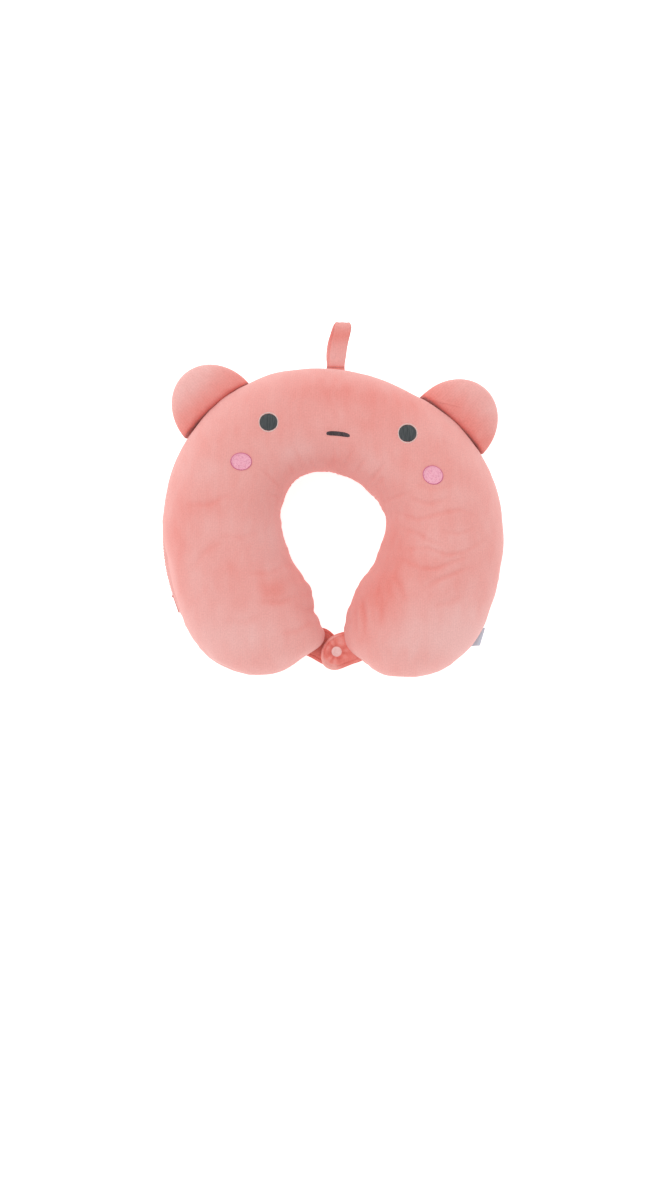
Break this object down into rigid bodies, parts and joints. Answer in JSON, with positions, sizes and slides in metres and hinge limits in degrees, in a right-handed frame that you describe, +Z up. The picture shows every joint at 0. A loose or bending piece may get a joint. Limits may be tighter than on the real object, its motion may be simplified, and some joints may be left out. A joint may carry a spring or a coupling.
{
  "type": "u shaped neck pillow",
  "caption": "U shaped travel neck pillow in short plush with a plain animal face, padded ears, a hanging strap, a snap closure between the arms and a zipped cover over a foam core.",
  "frame": {"origin": "centre of the whole object's footprint, on the surface it lies on", "axes": "the pillow lies on its back with its face up: +Z up out of the face, +Y towards the hanging strap at the nape, +X to the right seen from above"},
  "size_m": [0.3114, 0.3241, 0.1021],
  "materials": {
    "plush": "matte",
    "liner_cloth": "matte",
    "memory_foam": "matte",
    "fibre_filling": "matte",
    "dark_thread": "satin",
    "mouth_thread": "satin",
    "cheek_thread": "satin",
    "tab_plush": "matte",
    "snap_plastic": "gloss",
    "label_cloth": "satin",
    "zip_tape": "matte",
    "zip_coil": "satin",
    "zip_metal": "satin"
  },
  "bodies": {
    "left_half": {"cover_front_left": "plush", "cover_back_left": "plush", "liner_left": "liner_cloth", "foam_core_left": "memory_foam", "eye_left": "dark_thread", "mouth": "mouth_thread", "cheek_left": "cheek_thread", "zip_tape_upper": "zip_tape", "zip_tape_lower": "zip_tape", "zip_coil_upper": "zip_coil", "zip_coil_lower": "zip_coil", "zip_top_stops": "zip_metal", "zip_bottom_stop": "zip_metal"},
    "right_half": {"cover_front_right": "plush", "cover_back_right": "plush", "liner_right": "liner_cloth", "foam_core_right": "memory_foam", "eye_right": "dark_thread", "cheek_right": "cheek_thread", "side_label": "label_cloth"},
    "ear_left": {"ear_left_front": "plush", "ear_left_back": "plush", "ear_left_filling": "fibre_filling"},
    "ear_right": {"ear_right_front": "plush", "ear_right_back": "plush", "ear_right_filling": "fibre_filling"},
    "strap": {"hanging_strap": "plush"},
    "stud_flap": {"stud_tab": "tab_plush", "snap_stud": "snap_plastic", "snap_stud_plate": "snap_plastic"},
    "socket_flap": {"socket_tab": "tab_plush", "snap_socket": "snap_plastic", "snap_cap": "snap_plastic"},
    "slider": {"zip_slider": "zip_metal"},
    "pull": {"zip_pull": "zip_metal"}
  },
  "joints": [
    {"name": "arms_open", "type": "hinge", "parent": "left_half", "child": "right_half", "pos_m": [0.016, 0.1195, 0.05], "axis": [0, 0, 1], "range_deg": [0, 25], "stiffness_Nm_per_rad": 5},
    {"name": "ear_left_bend", "type": "hinge", "parent": "left_half", "child": "ear_left", "pos_m": [-0.11169, 0.07965, 0.05], "axis": [0.7421, 0.6702, 0], "range_deg": [-35, 35], "stiffness_Nm_per_rad": 0.05},
    {"name": "ear_right_bend", "type": "hinge", "parent": "right_half", "child": "ear_right", "pos_m": [0.11169, 0.07965, 0.05], "axis": [0.7421, -0.6702, 0], "range_deg": [-35, 35], "stiffness_Nm_per_rad": 0.05},
    {"name": "strap_swing", "type": "hinge", "parent": "left_half", "child": "strap", "pos_m": [-0.001, 0.1215, 0.05], "axis": [1, 0, 0], "range_deg": [-70, 70], "stiffness_Nm_per_rad": 0.01},
    {"name": "stud_flap_bend", "type": "hinge", "parent": "left_half", "child": "stud_flap", "pos_m": [-0.01069, -0.13174, 0.0455], "axis": [0.3705, 0.9288, 0], "range_deg": [0, 60], "stiffness_Nm_per_rad": 0.02},
    {"name": "socket_flap_lift", "type": "hinge", "parent": "right_half", "child": "socket_flap", "pos_m": [0.01212, -0.1349, 0.054], "axis": [-0.45, 0.893, 0], "range_deg": [0, 70], "stiffness_Nm_per_rad": 0.02},
    {"name": "slider_travel", "type": "hinge", "parent": "left_half", "child": "slider", "pos_m": [0.013, -0.032, 0.032], "axis": [0, 0, -1], "range_deg": [0, 41]},
    {"name": "pull_swing", "type": "hinge", "parent": "slider", "child": "pull", "pos_m": [-0.14499, -0.09201, 0.032], "axis": [0, 0, -1], "range_deg": [0, 165]}
  ]
}
